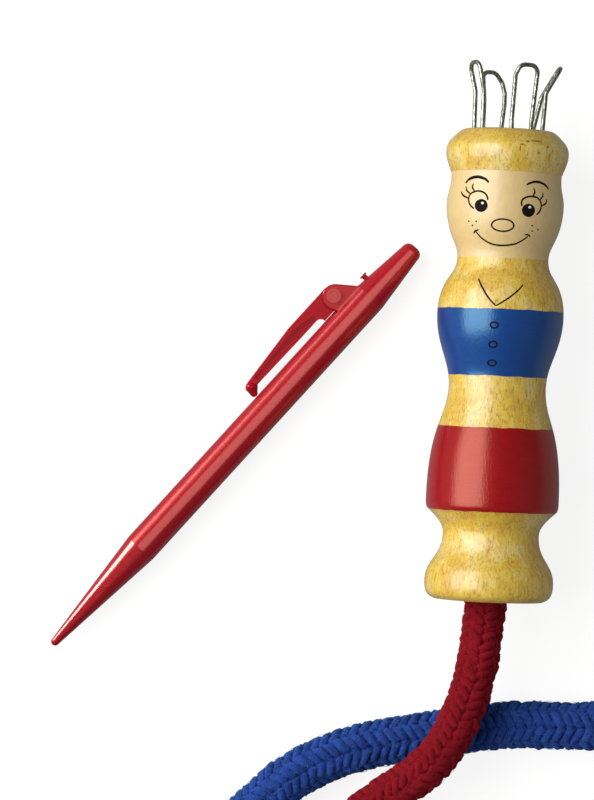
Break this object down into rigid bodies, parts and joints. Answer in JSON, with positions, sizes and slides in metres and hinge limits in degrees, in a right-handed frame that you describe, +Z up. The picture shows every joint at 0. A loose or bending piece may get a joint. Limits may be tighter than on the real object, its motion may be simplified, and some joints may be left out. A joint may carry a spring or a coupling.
{
  "type": "knitting dolly",
  "caption": "Turned wooden knitting dolly with bent wire loops round a through bore, its knitted cord, and a pointed stitch-lifting tool with a sprung clip.",
  "frame": {"origin": "on the table, directly under the centre of the dolly's base face", "axes": "+Z up from the table, +Y along the dolly from its base to its wire loops, +X to the right of the dolly as its face looks up"},
  "size_m": [0.1783, 0.2565, 0.0297],
  "materials": {
    "painted_wood": "clear lacquer over beech, with bands of flesh, blue and red paint",
    "loop_wire": "drawn galvanised wire",
    "red_yarn": "knitted matt yarn",
    "blue_yarn": "knitted matt yarn",
    "red_plastic": "glossy moulded",
    "spring_wire": "bright drawn",
    "black_ink": "printed line"
  },
  "bodies": {
    "dolly": {"doll_body": "painted_wood", "wire_loop_front": "loop_wire", "wire_loop_right": "loop_wire", "wire_loop_back": "loop_wire", "wire_loop_left": "loop_wire", "i_cord_red": "red_yarn", "i_cord_blue": "blue_yarn"},
    "tool": {"tool_body": "red_plastic", "clip_pin": "red_plastic", "clip_spring": "spring_wire"},
    "clip": {"tool_clip": "red_plastic"}
  },
  "joints": [
    {"name": "tool_lift", "type": "slide", "parent": "dolly", "child": "tool", "axis": [0, 0, 1], "range_m": [0, 0.06]},
    {"name": "clip_pivot", "type": "hinge", "parent": "tool", "child": "clip", "pos_m": [-0.03732, 0.06664, 0.00375], "axis": [0, 0, -1], "range_deg": [0, 10], "stiffness_Nm_per_rad": 0.02, "springref_deg": -11.46, "deforming": ["clip_spring"]}
  ]
}
